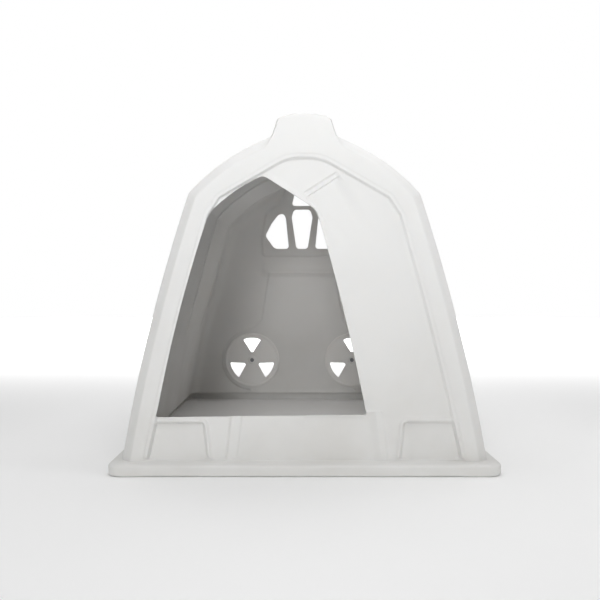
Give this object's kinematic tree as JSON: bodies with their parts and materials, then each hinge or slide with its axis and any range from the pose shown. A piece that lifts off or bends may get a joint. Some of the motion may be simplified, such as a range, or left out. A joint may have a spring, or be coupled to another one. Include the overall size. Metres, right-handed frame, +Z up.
{
  "type": "calf hutch",
  "caption": "Moulded calf shelter with an open floor, an arched off-centre doorway, a window fan and turning vent discs in its back wall.",
  "frame": {"origin": "middle of the base flange's footprint, at ground level", "axes": "+Z up, doorway faces -Y, +X to the right as seen from the front"},
  "size_m": [1.5, 2.15, 1.42],
  "materials": {
    "shell_polyethylene": "matte rotomoulded polyethylene",
    "disc_polyethylene": "matte moulded polyethylene",
    "zinc_steel": "dull zinc plate",
    "rubber": "matte"
  },
  "bodies": {
    "hutch": {"hutch_shell": "shell_polyethylene", "left_pivot_bolt": "zinc_steel", "left_head_washer": "zinc_steel", "left_spacer_sleeve": "zinc_steel", "left_friction_washer": "rubber", "left_outer_washer": "zinc_steel", "left_lock_nut": "zinc_steel", "right_pivot_bolt": "zinc_steel", "right_head_washer": "zinc_steel", "right_spacer_sleeve": "zinc_steel", "right_friction_washer": "rubber", "right_outer_washer": "zinc_steel", "right_lock_nut": "zinc_steel"},
    "left_vent": {"left_vent_disc": "disc_polyethylene"},
    "right_vent": {"right_vent_disc": "disc_polyethylene"}
  },
  "joints": [
    {"name": "left_vent_turn", "type": "hinge", "parent": "hutch", "child": "left_vent", "pos_m": [-0.315, 1.00932, 0.258], "axis": [0, -0.9976, -0.0698], "continuous": true},
    {"name": "right_vent_turn", "type": "hinge", "parent": "hutch", "child": "right_vent", "pos_m": [0.315, 1.00932, 0.258], "axis": [0, -0.9976, -0.0698], "continuous": true}
  ]
}
